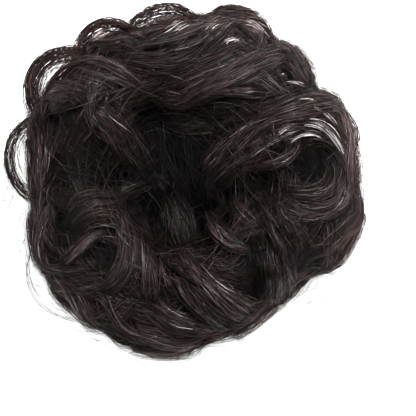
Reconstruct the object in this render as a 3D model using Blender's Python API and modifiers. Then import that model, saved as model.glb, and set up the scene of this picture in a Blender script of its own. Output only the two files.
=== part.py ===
"""Top knot hairpiece: nine curls of false hair sewn round a flat elastic ring.

The piece lies as it would on a table, head side down. Z is up, along the middle of the ring.
X runs to the right and Y away from the viewer of the top.
A bearing is an angle round the ring, counted from +X towards +Y.
"""

import math
from collections import namedtuple

import bmesh
import bpy
from mathutils import Vector

# Driving dimensions, in metres
OUTER_REACH = 0.0695
CURL_HEIGHT = 0.0500
LOCK_WIDTH = 0.0105
LOCK_THICKNESS = 0.0070
SIDE_LOCK_WIDTH = 0.0125
SIDE_LOCK_DEPTH = 0.30
LOBE_POWER = 4
BAND_INNER_RADIUS = 0.0185
BAND_WIDTH = 0.0055
BAND_HEIGHT = 0.0045
BAND_EDGE = 0.0009
HOLLOW_MARGIN = 0.0006
HOLLOW_HEIGHT = 0.0270
CROWN_SEAT_WIDTH = 0.0059
CROWN_THICKNESS = 0.0080
CROWN_LOCK_WIDTH = 0.0100
LOOP_THICKNESS = 0.0032
CLEARANCE = 0.0003

# Fineness of the solids
VOXEL = 0.0010
FACES_PER_DEGREE = 19.0
CROWN_FACES = 900
TURN_STEPS = 40
LOCK_SIDES = 8
LOCK_STEPS = 18
SECTION_STEP_DEGREES = 7.0
SIDE_LOCKS = 20

HAIR_COLOUR = (0.022, 0.016, 0.015, 1.0)
HAIR_ROUGHNESS = 0.42
ELASTIC_COLOUR = (0.010, 0.010, 0.011, 1.0)
ELASTIC_ROUGHNESS = 0.85

# One row for each curl: where it starts round the ring, how far out the valley before it and its own
# crest reach as shares of OUTER_REACH, and how high it stands as a share of CURL_HEIGHT.
Curl = namedtuple("Curl", "name start valley crest lift")
CURLS = (
    Curl("curl_right", -43.0, 0.87, 1.04, 1.00),
    Curl("curl_upper_right", 36.0, 0.93, 0.955, 0.94),
    Curl("curl_top", 56.0, 0.93, 0.925, 0.98),
    Curl("curl_top_left", 110.0, 0.88, 0.95, 0.93),
    Curl("curl_upper_left", 129.0, 0.87, 0.94, 1.00),
    Curl("curl_left", 154.0, 0.92, 0.84, 0.96),
    Curl("curl_lower_left", 186.0, 0.78, 0.915, 1.00),
    Curl("curl_bottom", 248.0, 0.91, 0.96, 0.95),
    Curl("curl_lower_right", 281.0, 0.89, 0.89, 0.97),
)

# The curl cut through by a plane at one bearing, from its foot by the ring, round the outside, to its
# top edge by the middle: out is the share of the way from the hollow's wall to the reach, up the share
# of the curl's height.
Rib = namedtuple("Rib", "out up")
SECTION = (
    Rib(-0.06, 0.00),
    Rib(0.30, 0.00),
    Rib(0.60, 0.01),
    Rib(0.80, 0.06),
    Rib(0.93, 0.20),
    Rib(1.00, 0.40),
    Rib(0.98, 0.60),
    Rib(0.88, 0.80),
    Rib(0.70, 0.95),
    Rib(0.50, 1.00),
    Rib(0.30, 0.90),
    Rib(0.14, 0.72),
    Rib(-0.06, 0.60),
)
TABLE_SIDE_RIBS = 5

# The locks that lie over the top, one row each: how wide it is as a share of LOCK_WIDTH, how far it
# stands on the others as a share of LOCK_THICKNESS, and its way over the top as (east, north) shares
# of OUTER_REACH.
Lock = namedtuple("Lock", "name width layer way")
TOP_LOCKS = (
    Lock("left_wall", 1.2, 0.2, ((-0.78, 0.44), (-0.83, 0.16), (-0.82, -0.12), (-0.72, -0.38))),
    Lock("left_arch", 1.2, 0.5, ((-0.84, 0.22), (-0.78, 0.50), (-0.58, 0.62), (-0.36, 0.60), (-0.18, 0.52))),
    Lock("left_fall", 1.7, 0.7, ((-0.66, 0.46), (-0.54, 0.42), (-0.40, 0.28), (-0.24, 0.14))),
    Lock("left_inner", 1.3, 0.1, ((-0.72, 0.22), (-0.56, 0.12), (-0.38, 0.04), (-0.20, 0.02))),
    Lock("small_curl", 1.0, 0.6, ((-0.54, 0.68), (-0.48, 0.81), (-0.37, 0.83), (-0.26, 0.75), (-0.14, 0.68))),
    Lock("top_rim", 1.0, 0.3, ((-0.28, 0.82), (-0.08, 0.88), (0.16, 0.89), (0.34, 0.88), (0.46, 0.76))),
    Lock("top_sweep", 1.3, 0.8, ((-0.30, 0.66), (-0.08, 0.68), (0.16, 0.72), (0.32, 0.80))),
    Lock("top_return", 1.4, 0.6, ((0.40, 0.72), (0.34, 0.60), (0.14, 0.52), (-0.10, 0.42))),
    Lock("upper_band", 1.5, 0.4, ((0.70, 0.64), (0.50, 0.64), (0.22, 0.50), (-0.04, 0.34))),
    Lock("second_band", 1.2, 0.8, ((0.72, 0.54), (0.44, 0.50), (0.18, 0.42), (-0.04, 0.26))),
    Lock("main_sweep", 2.0, 1.0, ((0.06, -0.02), (0.22, 0.14), (0.44, 0.28), (0.66, 0.40), (0.82, 0.34))),
    Lock("right_outer", 1.5, 0.4, ((0.70, 0.46), (0.88, 0.28), (0.94, 0.02), (0.93, -0.28), (0.76, -0.50))),
    Lock("right_ring", 1.3, 0.7, ((0.56, 0.22), (0.72, 0.26), (0.84, 0.08), (0.78, -0.14), (0.56, -0.16))),
    Lock("right_hook", 0.7, 1.0, ((0.34, 0.06), (0.50, 0.06), (0.62, 0.14), (0.64, 0.22))),
    Lock("right_fall", 1.3, 0.6, ((0.44, -0.06), (0.56, -0.24), (0.62, -0.42), (0.54, -0.58))),
    Lock("grey_fall", 1.2, 0.8, ((0.28, 0.00), (0.26, -0.18), (0.34, -0.34), (0.46, -0.42))),
    Lock("low_edge", 1.0, 0.9, ((0.46, -0.34), (0.48, -0.50), (0.48, -0.70))),
    Lock("centre_fall", 1.2, 0.6, ((-0.10, -0.02), (-0.04, -0.18), (-0.04, -0.34))),
    Lock("long_sweep", 1.7, 1.0, ((-0.20, -0.30), (-0.10, -0.46), (0.08, -0.60), (0.28, -0.66), (0.46, -0.66))),
    Lock("left_join", 1.0, 0.9, ((-0.44, -0.14), (-0.28, -0.06), (-0.12, 0.00))),
    Lock("low_ring", 1.5, 0.8, ((-0.66, -0.32), (-0.52, -0.20), (-0.32, -0.22), (-0.23, -0.44), (-0.32, -0.62))),
    Lock("low_left_wall", 1.3, 0.5, ((-0.80, -0.08), (-0.80, -0.30), (-0.68, -0.42), (-0.52, -0.43))),
    Lock("low_left_foot", 1.5, 0.4, ((-0.78, -0.46), (-0.60, -0.64), (-0.36, -0.74), (-0.12, -0.70))),
    Lock("bottom_rim", 1.1, 0.3, ((-0.48, -0.80), (-0.20, -0.91), (0.04, -0.91), (0.30, -0.84))),
    Lock("bottom_turn", 1.4, 0.6, ((-0.26, -0.80), (0.00, -0.82), (0.24, -0.76), (0.42, -0.62))),
)

# Thin loops that stand clear of the outline, one row each: where they leave and meet the curl, how
# far out they reach as a share of OUTER_REACH, and their height as a share of CURL_HEIGHT.
Loop = namedtuple("Loop", "name curl leaves meets reach up width")
LOOPS = (
    Loop("left_outer", "curl_left", 156.0, 184.5, 0.985, 0.42, 1.0),
    Loop("left_inner", "curl_left", 160.0, 183.0, 0.925, 0.50, 0.8),
    Loop("upper_left", "curl_upper_left", 131.5, 152.0, 1.01, 0.55, 1.3),
    Loop("top_left", "curl_top_left", 112.0, 127.5, 0.99, 0.50, 1.1),
    Loop("top_right", "curl_top", 58.0, 80.0, 0.99, 0.50, 1.2),
)

# The locks that cross over the middle, each an arc: its bearing, its width as a share of
# CROWN_LOCK_WIDTH, and how far to one side of the middle it passes as a share of CROWN_RADIUS.
Crossing = namedtuple("Crossing", "bearing width aside")
CROSSINGS = (
    Crossing(12.0, 1.2, 0.55),
    Crossing(35.0, 1.1, -0.12),
    Crossing(62.0, 1.0, -0.62),
    Crossing(88.0, 1.2, 0.28),
    Crossing(118.0, 1.1, -0.35),
    Crossing(140.0, 1.0, 0.62),
    Crossing(168.0, 1.2, -0.45),
)
CROWN_DIP = 0.42

HOLLOW_RADIUS = BAND_INNER_RADIUS + HOLLOW_MARGIN
BAND_OUTER_RADIUS = BAND_INNER_RADIUS + BAND_WIDTH
CROWN_RADIUS = HOLLOW_RADIUS + CROWN_SEAT_WIDTH
FULL_TURN = 360.0
SHARP_ANGLE = 50.0
MERGE_DISTANCE = 0.00001


def clear_scene():
    for obj in list(bpy.data.objects):
        bpy.data.objects.remove(obj, do_unlink=True)


def new_collection(name):
    collection = bpy.data.collections.new(name)
    bpy.context.scene.collection.children.link(collection)
    return collection


def principled(name, colour, roughness):
    material = bpy.data.materials.new(name)
    material.use_nodes = True
    shader = material.node_tree.nodes["Principled BSDF"]
    shader.inputs["Base Color"].default_value = colour
    shader.inputs["Roughness"].default_value = roughness
    shader.inputs["Metallic"].default_value = 0.0
    material.diffuse_color = colour
    return material


def spline_points(points, steps):
    """A smooth curve through the points, as steps + 1 places along it."""
    ends = [2 * points[0] - points[1], *points, 2 * points[-1] - points[-2]]
    pieces = len(points) - 1
    found = []
    for k in range(steps + 1):
        along = k / steps * pieces
        i = min(int(along), pieces - 1)
        t = along - i
        a, b, c, d = ends[i : i + 4]
        bend = (2 * a - 5 * b + 4 * c - d) * t**2 + (3 * b - a - 3 * c + d) * t**3
        found.append(0.5 * (2 * b + (c - a) * t + bend))
    return found


def curl_at(bearing):
    """The curl at a bearing, and the share of the way through it."""
    for curl, after in zip(CURLS, CURLS[1:] + CURLS[:1]):
        width = (after.start - curl.start) % FULL_TURN
        into = (bearing - curl.start) % FULL_TURN
        if into <= width:
            return curl, after, into / width
    return CURLS[-1], CURLS[0], 1.0


def reach_at(bearing):
    """How far out the outline is at a bearing: full at each curl's crest, drawn in at the valleys."""
    curl, after, share = curl_at(bearing)
    valley = curl.valley + (after.valley - curl.valley) * share
    middle = (curl.valley + after.valley) / 2
    swell = 1 - abs(2 * share - 1) ** LOBE_POWER
    return OUTER_REACH * (valley + (curl.crest - middle) * swell)


def lift_at(bearing):
    curl, after, share = curl_at(bearing)
    before = curl.lift if share > 0.5 else CURLS[CURLS.index(curl) - 1].lift
    beyond = after.lift if share > 0.5 else curl.lift
    blend = share - 0.5 if share > 0.5 else share + 0.5
    return before + (beyond - before) * blend


def rib_place(bearing, rib):
    """A rib point of the section, at a bearing."""
    radius = HOLLOW_RADIUS + (reach_at(bearing) - HOLLOW_RADIUS) * rib.out
    angle = math.radians(bearing)
    height = CURL_HEIGHT * rib.up * lift_at(bearing)
    return Vector((radius * math.cos(angle), radius * math.sin(angle), height))


def top_height(east, north):
    """Height of the curls' upper surface over a place on the table."""
    bearing = math.degrees(math.atan2(north, east))
    out = (math.hypot(east, north) - HOLLOW_RADIUS) / (reach_at(bearing) - HOLLOW_RADIUS)
    upper = SECTION[TABLE_SIDE_RIBS:]
    up = upper[-1].up if out < upper[-1].out else upper[0].up
    for outer, inner in zip(upper, upper[1:]):
        if inner.out <= out <= outer.out:
            share = (out - inner.out) / (outer.out - inner.out)
            up = inner.up + (outer.up - inner.up) * share
            break
    return CURL_HEIGHT * up * lift_at(bearing)


def add_loft(mesh, rings):
    """Skins rings of equal length, and closes both ends."""
    rows = [[mesh.verts.new(place) for place in ring] for ring in rings]
    count = len(rows[0])
    for row, after in zip(rows, rows[1:]):
        for k in range(count):
            mesh.faces.new((row[k], row[(k + 1) % count], after[(k + 1) % count], after[k]))
    mesh.faces.new(rows[0][::-1])
    mesh.faces.new(rows[-1])


def add_lock(mesh, places, ups, width, thickness):
    """A lock of hair: an oval section swept along places, thinned towards both ends."""
    rings = []
    last = len(places) - 1
    for k, (place, up) in enumerate(zip(places, ups)):
        along = places[min(k + 1, last)] - places[max(k - 1, 0)]
        side = along.cross(up).normalized()
        normal = side.cross(along).normalized()
        share = k / last
        full = 0.45 + 0.55 * math.sin(math.pi * share) ** 0.5
        ring = []
        for step in range(LOCK_SIDES):
            turn = 2 * math.pi * step / LOCK_SIDES
            ring.append(
                place
                + side * (full * width / 2 * math.cos(turn))
                + normal * (full * thickness / 2 * math.sin(turn))
            )
        rings.append(ring)
    add_loft(mesh, rings)


def top_lock_path(lock):
    """Places along a top lock, and the way up at each."""
    plan = [Vector((east * OUTER_REACH, north * OUTER_REACH, 0.0)) for east, north in lock.way]
    places = spline_points(plan, LOCK_STEPS)
    for place in places:
        place.z = top_height(place.x, place.y) + LOCK_THICKNESS * (lock.layer - 0.5)
    ups = [Vector((place.x, place.y, OUTER_REACH)).normalized() for place in places]
    return places, ups


def side_lock_path(index):
    """A lock from the table side, round the outside and slantwise up to the crest."""
    bearing = FULL_TURN * index / SIDE_LOCKS
    slant = 15.0 if index % 2 else -12.0
    places, ups = [], []
    for k in range(LOCK_STEPS + 1):
        share = k / LOCK_STEPS
        at = 2.0 + share * 7.0
        i = int(at)
        t = at - i
        here = bearing + slant * (2 * share - 1) + 4.0 * math.sin(2 * math.pi * share)
        low, high = SECTION[i], SECTION[min(i + 1, len(SECTION) - 1)]
        rib = Rib(low.out + (high.out - low.out) * t, low.up + (high.up - low.up) * t)
        place = rib_place(here, rib)
        inside = rib_place(here, Rib(0.5, 0.45))
        up = (place - inside).normalized()
        places.append(place - up * LOCK_THICKNESS * SIDE_LOCK_DEPTH)
        ups.append(up)
    return places, ups


def loop_path(loop):
    """A thin loop in a level plane, out from the curl's outline and back to it."""
    places, ups = [], []
    for k in range(LOCK_STEPS + 1):
        share = k / LOCK_STEPS
        bearing = loop.leaves + (loop.meets - loop.leaves) * share
        swell = math.sin(math.pi * share) ** 0.6
        root = reach_at(bearing) * 0.93
        radius = root + (loop.reach * OUTER_REACH - LOOP_THICKNESS / 2 - root) * swell
        angle = math.radians(bearing)
        height = CURL_HEIGHT * (loop.up + 0.06 * math.sin(2 * math.pi * share))
        places.append(Vector((radius * math.cos(angle), radius * math.sin(angle), height)))
        ups.append(Vector((0, 0, 1)))
    return places, ups


def bearing_within(bearing, start, width):
    return (bearing - start) % FULL_TURN <= width


def enters(places, start, width):
    """True if a way passes through the part of the ring that starts at start."""
    return any(bearing_within(math.degrees(math.atan2(p.y, p.x)), start, width) for p in places)


def mesh_object(name, mesh, collection):
    data = bpy.data.meshes.new(name)
    bmesh.ops.recalc_face_normals(mesh, faces=mesh.faces)
    mesh.to_mesh(data)
    mesh.free()
    obj = bpy.data.objects.new(name, data)
    collection.objects.link(obj)
    return obj


def add_modifier(obj, kind, **settings):
    modifier = obj.modifiers.new(kind.title(), kind)
    for name, value in settings.items():
        setattr(modifier, name, value)
    return modifier


def turned_object(name, profile, collection, closed=False):
    """A solid turned round Z from (radius, height) points, which run down its outer side."""
    count = len(profile)
    edges = [(k, (k + 1) % count) for k in range(count if closed else count - 1)]
    data = bpy.data.meshes.new(name)
    data.from_pydata([(radius, 0.0, height) for radius, height in profile], edges, [])
    obj = bpy.data.objects.new(name, data)
    collection.objects.link(obj)
    add_modifier(
        obj,
        "SCREW",
        steps=TURN_STEPS,
        render_steps=TURN_STEPS,
        use_merge_vertices=True,
        merge_threshold=MERGE_DISTANCE,
    )
    return obj


def as_cutter(obj):
    obj.hide_render = True
    obj.display_type = "WIRE"
    return obj


def wedge_cutter(curl, width, collection):
    """The part of the ring that a curl fills, less half the clearance at each side."""
    middle = math.radians(curl.start + width / 2)
    half = math.radians(width / 2)
    inset = CLEARANCE / 2 / math.sin(half)
    tip = Vector((inset * math.cos(middle), inset * math.sin(middle), 0))
    far = OUTER_REACH * 2
    corners = [tip]
    for angle in (middle - half, middle + half):
        corners.append(tip + Vector((far * math.cos(angle), far * math.sin(angle), 0)))
    mesh = bmesh.new()
    levels = (Vector((0, 0, -CURL_HEIGHT)), Vector((0, 0, CURL_HEIGHT * 2)))
    add_loft(mesh, [[corner + level for corner in corners] for level in levels])
    return as_cutter(mesh_object("cutter_" + curl.name, mesh, collection))


def evaluated_mesh(obj):
    graph = bpy.context.evaluated_depsgraph_get()
    return bpy.data.meshes.new_from_object(obj.evaluated_get(graph))


def thin_out(obj, faces):
    """Makes one skin of the shapes in obj, with about this many triangles."""
    add_modifier(obj, "REMESH", mode="VOXEL", voxel_size=VOXEL)
    triangles = sum(len(face.vertices) - 2 for face in evaluated_mesh(obj).polygons)
    add_modifier(obj, "DECIMATE", ratio=min(1.0, faces / triangles), use_collapse_triangulate=True)


def keep_largest(obj):
    """Applies the modifiers, and drops crumbs that a cut has left."""
    data = evaluated_mesh(obj)
    obj.modifiers.clear()
    mesh = bmesh.new()
    mesh.from_mesh(data)
    left, groups = set(mesh.verts), []
    while left:
        todo = [left.pop()]
        group = set(todo)
        while todo:
            here = todo.pop()
            near = {edge.other_vert(here) for edge in here.link_edges} & left
            left -= near
            group |= near
            todo += near
        groups.append(group)
    largest = max(groups, key=len)
    bmesh.ops.delete(mesh, geom=[v for v in mesh.verts if v not in largest], context="VERTS")
    bmesh.ops.triangulate(mesh, faces=mesh.faces)
    mesh.to_mesh(obj.data)
    mesh.free()


def finish_surface(obj, material):
    obj.data.materials.clear()
    obj.data.materials.append(material)
    obj.data.shade_smooth()
    obj.data.set_sharp_from_angle(angle=math.radians(SHARP_ANGLE))


def make_curl(curl, width, hollow, material, parts, cutters):
    """A curl: its rolled body, with the locks that lie on it, cut to its own part of the ring."""
    mesh = bmesh.new()
    margin = SECTION_STEP_DEGREES
    count = max(3, round((width + 2 * margin) / SECTION_STEP_DEGREES))
    rings = []
    for k in range(count + 1):
        bearing = curl.start - margin + (width + 2 * margin) * k / count
        rings.append([rib_place(bearing, rib) for rib in SECTION])
    add_loft(mesh, rings)
    for lock in TOP_LOCKS:
        places, ups = top_lock_path(lock)
        if enters(places, curl.start, width):
            add_lock(mesh, places, ups, lock.width * LOCK_WIDTH, LOCK_THICKNESS)
    for index in range(SIDE_LOCKS):
        places, ups = side_lock_path(index)
        if enters(places, curl.start, width):
            add_lock(mesh, places, ups, SIDE_LOCK_WIDTH, LOCK_THICKNESS)
    for loop in LOOPS:
        if loop.curl == curl.name:
            places, ups = loop_path(loop)
            add_lock(mesh, places, ups, loop.width * LOOP_THICKNESS, loop.width * LOOP_THICKNESS)
    obj = mesh_object(curl.name, mesh, parts)
    thin_out(obj, FACES_PER_DEGREE * (width + 4 * margin))
    add_modifier(obj, "BOOLEAN", operation="INTERSECT", object=wedge_cutter(curl, width, cutters))
    add_modifier(obj, "BOOLEAN", operation="DIFFERENCE", object=hollow)
    keep_largest(obj)
    finish_surface(obj, material)
    return obj


def make_hollow(cutters):
    """What is cut from the curls: room for the ring, the hollow over it, the crown's seat, the table."""
    seat = CROWN_RADIUS + CLEARANCE
    top = CURL_HEIGHT * 3
    profile = (
        (0.0, top),
        (seat, top),
        (seat, HOLLOW_HEIGHT - CLEARANCE),
        (HOLLOW_RADIUS, HOLLOW_HEIGHT - CLEARANCE),
        (HOLLOW_RADIUS, BAND_HEIGHT + CLEARANCE),
        (BAND_OUTER_RADIUS + CLEARANCE, BAND_HEIGHT + CLEARANCE),
        (BAND_OUTER_RADIUS + CLEARANCE, 0.0),
        (OUTER_REACH * 2, 0.0),
        (OUTER_REACH * 2, -CURL_HEIGHT),
        (0.0, -CURL_HEIGHT),
    )
    return as_cutter(turned_object("cutter_hollow", profile, cutters))


def make_crown(material, parts, cutters):
    """The locks that cross over the middle and close the hollow from above."""
    mesh = bmesh.new()
    low = HOLLOW_HEIGHT - CLEARANCE
    wide = CROWN_RADIUS * 1.2
    turns = [2 * math.pi * k / TURN_STEPS for k in range(TURN_STEPS)]
    disc = [Vector((wide * math.cos(turn), wide * math.sin(turn), 0)) for turn in turns]
    middle = low + CROWN_THICKNESS * 0.25
    add_loft(mesh, [[p + Vector((0, 0, z)) for p in disc] for z in (low - CROWN_THICKNESS, middle)])
    for crossing in CROSSINGS:
        angle = math.radians(crossing.bearing)
        along = Vector((math.cos(angle), math.sin(angle), 0))
        across = Vector((-along.y, along.x, 0))
        places = []
        for k in range(LOCK_STEPS + 1):
            share = 2 * k / LOCK_STEPS - 1
            rise = CROWN_THICKNESS * (0.14 + CROWN_DIP * share**2)
            aside = CROWN_RADIUS * crossing.aside * (1 - 0.5 * share**2)
            places.append(along * wide * share + across * aside + Vector((0, 0, low + rise)))
        ups = [Vector((0, 0, 1))] * len(places)
        add_lock(mesh, places, ups, crossing.width * CROWN_LOCK_WIDTH, CROWN_THICKNESS * 0.7)
    obj = mesh_object("crown_locks", mesh, parts)
    thin_out(obj, CROWN_FACES)
    top = low + CROWN_THICKNESS * 2
    floor = low + CLEARANCE
    mould = ((0.0, top), (CROWN_RADIUS, top), (CROWN_RADIUS, floor), (0.0, floor))
    cutter = as_cutter(turned_object("cutter_crown", mould, cutters))
    add_modifier(obj, "BOOLEAN", operation="INTERSECT", object=cutter)
    keep_largest(obj)
    finish_surface(obj, material)
    return obj


def make_band(material, parts):
    """The flat elastic ring, with its edges rounded off, lying on the table."""
    inner, outer = BAND_INNER_RADIUS + BAND_EDGE, BAND_OUTER_RADIUS - BAND_EDGE
    low, high = BAND_EDGE, BAND_HEIGHT - BAND_EDGE
    profile = []
    corners = ((outer, high, 90), (outer, low, 0), (inner, low, -90), (inner, high, -180))
    for radius, height, turn in corners:
        for step in (0, -45, -90):
            angle = math.radians(turn + step)
            profile.append((radius + BAND_EDGE * math.cos(angle), height + BAND_EDGE * math.sin(angle)))
    obj = turned_object("elastic_band", profile, parts, closed=True)
    finish_surface(obj, material)
    return obj


def stand_on_origin(objects):
    """Moves the whole piece so that the middle of its footprint is over the origin."""
    corners = [vertex.co.copy() for obj in objects for vertex in evaluated_mesh(obj).vertices]
    east, north, up = zip(*corners)
    shift = Vector((-(min(east) + max(east)) / 2, -(min(north) + max(north)) / 2, -min(up)))
    for obj in objects:
        obj.location = shift


def main():
    clear_scene()
    parts = new_collection("top_knot_hairpiece")
    cutters = new_collection("cutters")
    hair = principled("hair", HAIR_COLOUR, HAIR_ROUGHNESS)
    elastic = principled("elastic", ELASTIC_COLOUR, ELASTIC_ROUGHNESS)
    hollow = make_hollow(cutters)
    made = [make_band(elastic, parts), make_crown(hair, parts, cutters)]
    for curl, after in zip(CURLS, CURLS[1:] + CURLS[:1]):
        width = (after.start - curl.start) % FULL_TURN
        made.append(make_curl(curl, width, hollow, hair, parts, cutters))
    stand_on_origin(made)


main()
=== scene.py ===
"""Looks of the top knot hairpiece: strands of dark hair in curls round an elastic ring.

Every lock of hair is one row of a table: its way over the piece, its width and how far it stands up.
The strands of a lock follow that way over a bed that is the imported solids, drawn in a little.
A bearing is an angle round the ring, counted from +X towards +Y. In the functions, share runs from 0
to 1 along a lock or a strand, and luck is the one source of random numbers.
"""

import math
from collections import namedtuple

import bmesh
import bpy
import numpy as np
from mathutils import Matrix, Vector
from mathutils.bvhtree import BVHTree


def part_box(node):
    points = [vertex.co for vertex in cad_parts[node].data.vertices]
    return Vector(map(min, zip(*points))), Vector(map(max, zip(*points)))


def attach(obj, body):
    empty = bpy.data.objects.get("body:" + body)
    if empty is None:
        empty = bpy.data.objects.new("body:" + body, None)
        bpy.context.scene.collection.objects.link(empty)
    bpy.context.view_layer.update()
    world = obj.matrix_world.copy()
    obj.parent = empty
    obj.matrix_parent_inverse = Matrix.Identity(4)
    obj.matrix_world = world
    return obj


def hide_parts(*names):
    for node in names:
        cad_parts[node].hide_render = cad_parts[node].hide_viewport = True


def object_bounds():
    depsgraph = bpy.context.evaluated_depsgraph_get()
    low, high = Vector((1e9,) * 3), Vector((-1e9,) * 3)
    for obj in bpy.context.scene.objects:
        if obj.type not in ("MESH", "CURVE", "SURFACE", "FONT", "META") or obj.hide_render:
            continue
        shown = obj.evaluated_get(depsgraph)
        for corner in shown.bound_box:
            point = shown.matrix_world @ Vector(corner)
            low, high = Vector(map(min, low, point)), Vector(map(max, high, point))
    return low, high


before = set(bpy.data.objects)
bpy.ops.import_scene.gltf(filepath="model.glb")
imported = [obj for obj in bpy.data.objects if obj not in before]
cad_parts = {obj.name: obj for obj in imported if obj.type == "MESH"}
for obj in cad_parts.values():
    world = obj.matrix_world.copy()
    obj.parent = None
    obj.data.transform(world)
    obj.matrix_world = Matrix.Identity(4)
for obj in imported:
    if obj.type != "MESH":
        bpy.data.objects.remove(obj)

CAD_LOW, CAD_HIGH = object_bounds()
REACH = (CAD_HIGH.x - CAD_LOW.x) / 2
HEIGHT = CAD_HIGH.z
RING_LOW, RING_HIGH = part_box("elastic_band")
RING_CENTRE = (RING_LOW + RING_HIGH) / 2
RING_OUTER = (RING_HIGH.x - RING_LOW.x) / 2
UP = np.array((0.0, 0.0, 1.0))
TINY = 1e-9

# The photograph is PICTURE_SIZE pixels across, and the hair spans HAIR_SPAN of them round HAIR_MIDDLE
PICTURE_SIZE = 416
HAIR_SPAN = 366
HAIR_MIDDLE = (183.5, 181.0)
PIXEL = 2 * REACH / HAIR_SPAN
VIEW_LEVEL = HEIGHT * 0.45
VIEW_DISTANCE = 0.75
VIEW_EAST = (PICTURE_SIZE / 2 - HAIR_MIDDLE[0]) * PIXEL
VIEW_NORTH = (HAIR_MIDDLE[1] - PICTURE_SIZE / 2) * PIXEL
VIEWPOINT = Vector((VIEW_EAST, VIEW_NORTH, VIEW_LEVEL + VIEW_DISTANCE))
SENSOR = 36.0

# Sizes, in metres. A lock stands LOCK_RISE over the bed, BODY_SHARE of it in its body, and LAYER_RISE
# more for each lock under it. Its ends sink by TIP_SINK, and those of glints and fine hairs by END_SINK.
STRAND_WIDTH = 0.00015
BED_VOXEL = 0.0019
BED_DEPTH = 0.0048
THIN_ROOM = 0.0013
LOCK_RISE = 0.0046
BODY_SHARE = 0.62
LAYER_RISE = 0.0022
TIP_SINK = 0.0018
GLINT_RISE = 0.0006
END_SINK = 0.0020
SEGMENT = 0.0085
RING_WIDTH = 0.0055
TABLE_CLEARANCE = 0.00025
CORNER_STEP = 0.000075
MICROMETRE = 1e-6
MILLIMETRES = 1000

# Shares of REACH: how far the bed and the fine hairs stay inside the outline, how wide the edge is where
# the hair is painted browner as backlight, the half width from which a lock is full height, and where loops
# and edge hairs are rooted
BED_INSET = 0.07
FINE_INSET = 0.06
BACKLIT_EDGE_WIDTH = 0.13
FULL_HALF = 0.065
LOOP_ROOT = 0.78
EDGE_ROOT = 0.86

# The bed sinks by LEAST_DEPTH of its depth at the ring, by DEEPEST_SHARE of its thickness at most, and
# thin loops are dropped from LOOPS_FROM of REACH outwards
LEAST_DEPTH = 0.15
DEEPEST_SHARE = 0.4
LOOPS_FROM = 0.8

# Shares of HEIGHT: the lowest place that counts as seen from above, and where it is seated otherwise
LOWEST_SEEN = 0.3
SIDE_LEVEL = 0.42

# The hollow is painted dark as shade up to HOLLOW_LEVEL of HEIGHT and out to HOLLOW_REACH of REACH,
# and the shade fades past them
HOLLOW_PAINTED_SHADE = 0.94
HOLLOW_LEVEL = 0.56
HOLLOW_RISE = 0.34
HOLLOW_REACH = 0.6
HOLLOW_FADE = 0.2

# The hair that is fitted to the outline: from what share of REACH, and how many percent lie inside it
RIM_FROM = 0.7
REACH_PERCENTILE = 99

# The cells of the baking map: how much taller than wide, and what they leave free, as shares of a cell
CELL_SLIMNESS = 5
MARGIN_U = 0.08
MARGIN_V = 0.06
CAP_V = 0.025

# Counts, and the turn in degrees that takes a segment of a lock, or that darkens a strand
BODY_SIDES = 8
BED_SMOOTHING = 16
WAY_POINTS = 24
SIDE_POINTS = 20
UNDER_POINTS = 14
RIM_POINTS = 18
LOOP_POINTS = 15
EDGE_POINTS = 11
GLINT_POINTS = 14
FINE_POINTS = 13
SEGMENT_LIMITS = (7, 22)
STRANDS_PER_METRE = 21000
CLUMP_SIZE = 7
FINE_HAIRS = 800
EDGE_HAIRS = 130
SEGMENT_TURN = 24.0
KINK_TURN = 40.0

# How many of a lock's strands are stray or bright, how light the bright ones are, and how far the grain
# of one strand lies from that of another
STRAY_SHARE = 0.10
BRIGHT_SHARE = 0.10
BRIGHTNESS = 0.4
GRAIN_SPREAD = 500
SEED = 7

# Colours of the hair, the thread and the table
# DEEP_BLACK and WARM_BLACK paint the bed near-black, as the shade deep between the locks
DEEP_BLACK = (0.0008, 0.0006, 0.0006, 1)
WARM_BLACK = (0.0040, 0.0030, 0.0028, 1)
BROWN = (0.118, 0.070, 0.064, 1)
GREY = (0.088, 0.077, 0.080, 1)
# Painted backlight: the brown of thin hair near the outline, where light shines through it
BACKLIT_BROWN = (0.165, 0.096, 0.087, 1)
# Painted highlight: the silver of the brightest strands, the glints
PAINTED_HIGHLIGHT_SILVER = (0.55, 0.53, 0.53, 1)
DARK_THREAD = (0.004, 0.004, 0.0045, 1)
LIGHT_THREAD = (0.016, 0.015, 0.016, 1)
TABLE_WHITE = (0.92, 0.92, 0.92, 1)
WHITE = (1, 1, 1, 1)

CURL_NODES = (
    "curl_right",
    "curl_upper_right",
    "curl_top",
    "curl_top_left",
    "curl_upper_left",
    "curl_left",
    "curl_lower_left",
    "curl_bottom",
    "curl_lower_right",
)
HAIR_NODES = (*CURL_NODES, "crown_locks")

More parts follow.
